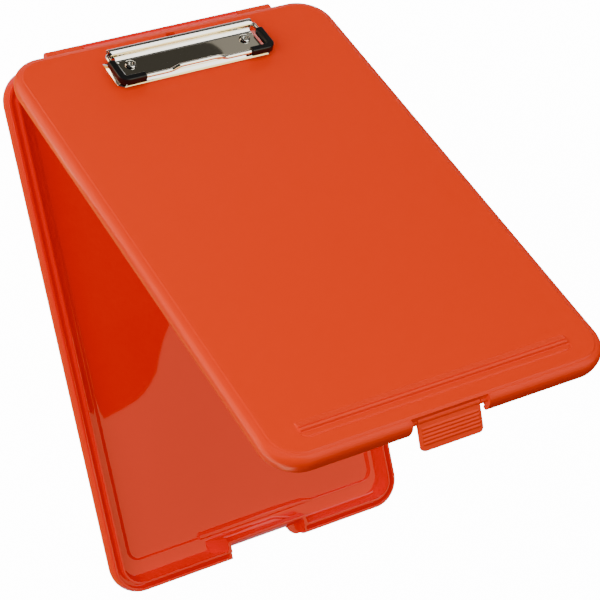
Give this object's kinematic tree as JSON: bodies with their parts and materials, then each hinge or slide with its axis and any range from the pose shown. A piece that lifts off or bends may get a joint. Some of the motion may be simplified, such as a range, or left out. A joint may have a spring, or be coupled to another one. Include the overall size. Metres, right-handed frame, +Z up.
{
  "type": "storage clipboard box",
  "caption": "Shallow lidded document box whose lid is a writing board with a wire-lever paper clip, a rear hinge and a swing latch at the front.",
  "frame": {"origin": "middle of the bounding box in plan, on the plane the tray stands on", "axes": "+X right across the lid, +Y from the latch to the hinge, +Z up"},
  "size_m": [0.238, 0.3765, 0.3059],
  "materials": {
    "case_plastic": "moulded, satin gloss",
    "clip_plate": "bright nickel plate",
    "spring_steel": "plain",
    "pin_steel": "plain",
    "grip_rubber": "satin"
  },
  "bodies": {
    "tray": {"tray": "case_plastic"},
    "lid": {"lid_panel": "case_plastic", "lid_rim": "case_plastic", "hinge_pin_left": "pin_steel", "hinge_pin_right": "pin_steel", "latch_pin": "pin_steel", "clip_spring": "spring_steel", "clip_rivets": "clip_plate", "clip_washers": "pin_steel"},
    "latch": {"latch": "case_plastic"},
    "jaw": {"clip_jaw": "clip_plate"},
    "lever": {"clip_lever": "clip_plate", "grip_left": "grip_rubber", "grip_right": "grip_rubber"}
  },
  "joints": [
    {"name": "lid_hinge", "type": "hinge", "parent": "tray", "child": "lid", "pos_m": [0, 0.18465, 0.0168], "axis": [-1, 0, 0], "range_deg": [-50, 85]},
    {"name": "latch_pivot", "type": "hinge", "parent": "lid", "child": "latch", "pos_m": [-0.0022, -0.04953, 0.30056], "axis": [-1, 0, 0], "range_deg": [-40, 45]},
    {"name": "jaw_rock", "type": "hinge", "parent": "lid", "child": "jaw", "pos_m": [0, 0.1699, 0.05351], "axis": [-1, 0, 0], "range_deg": [0, 5.3]},
    {"name": "lever_lift", "type": "hinge", "parent": "jaw", "child": "lever", "pos_m": [0, 0.17924, 0.04581], "axis": [-1, 0, 0], "range_deg": [0, 95]}
  ],
  "couplings": [
    {"joint": "jaw_rock", "follows": "lever_lift", "ratio": 0.055}
  ]
}
